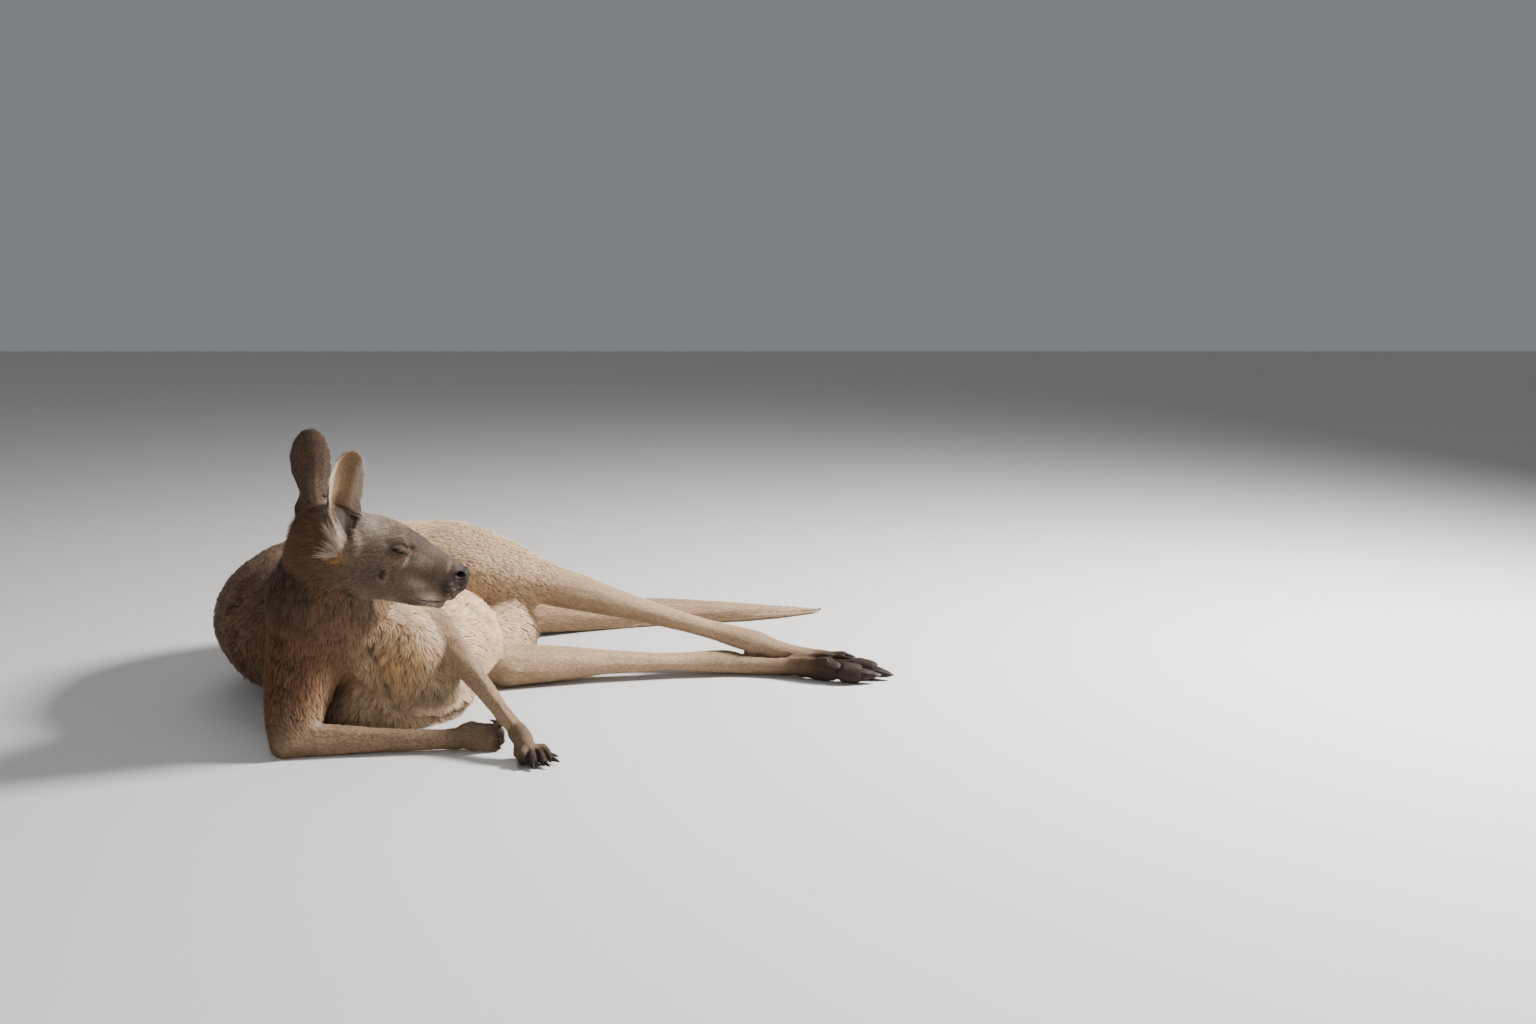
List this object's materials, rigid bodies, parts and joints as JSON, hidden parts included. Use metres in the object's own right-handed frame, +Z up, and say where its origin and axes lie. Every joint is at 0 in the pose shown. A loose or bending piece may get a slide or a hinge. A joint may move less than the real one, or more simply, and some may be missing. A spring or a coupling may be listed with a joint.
{
  "type": "red kangaroo model",
  "caption": "Life-size still model of a male red kangaroo reclining on its right side, propped on one elbow, legs and tail stretched out.",
  "frame": {"origin": "on the floor, under the middle of the bounding box", "axes": "+Z up; the hind feet and the tail point along +X; the belly faces -Y and the back is at -X and +Y"},
  "size_m": [1.4308, 1.2754, 0.5897],
  "materials": {
    "coat_grey_brown": "short dense fur, warm grey-brown",
    "coat_pale": "short dense fur, cream to fawn",
    "coat_dark": "very short fur, dark brown",
    "bare_skin": "bare moist skin of the nose",
    "horn": "claw horn, satin",
    "wet_eye": "wet and glossy"
  },
  "bodies": {
    "root": {"head": "coat_grey_brown", "ear_left": "coat_dark", "ear_right": "coat_dark", "eye_left": "wet_eye", "eye_right": "wet_eye", "nose": "bare_skin", "neck": "coat_grey_brown", "chest": "coat_grey_brown", "abdomen": "coat_grey_brown", "upper_arm_left": "coat_grey_brown", "upper_arm_right": "coat_grey_brown", "forearm_left": "coat_grey_brown", "forearm_right": "coat_grey_brown", "hand_left": "coat_dark", "hand_right": "coat_dark", "thigh_left": "coat_pale", "thigh_right": "coat_pale", "shank_left": "coat_pale", "shank_right": "coat_pale", "foot_left": "coat_dark", "foot_right": "coat_dark", "tail_root": "coat_pale", "tail_middle": "coat_pale", "tail_tip": "coat_pale", "finger_claw_left_1": "horn", "finger_claw_left_2": "horn", "finger_claw_left_3": "horn", "finger_claw_left_4": "horn", "finger_claw_left_5": "horn", "finger_claw_right_1": "horn", "finger_claw_right_2": "horn", "finger_claw_right_3": "horn", "finger_claw_right_4": "horn", "finger_claw_right_5": "horn", "toe_claw_left_fourth": "horn", "toe_claw_left_fifth": "horn", "toe_claw_left_third": "horn", "toe_claw_left_second": "horn", "toe_claw_right_fourth": "horn", "toe_claw_right_fifth": "horn", "toe_claw_right_third": "horn", "toe_claw_right_second": "horn"}
  },
  "joints": []
}
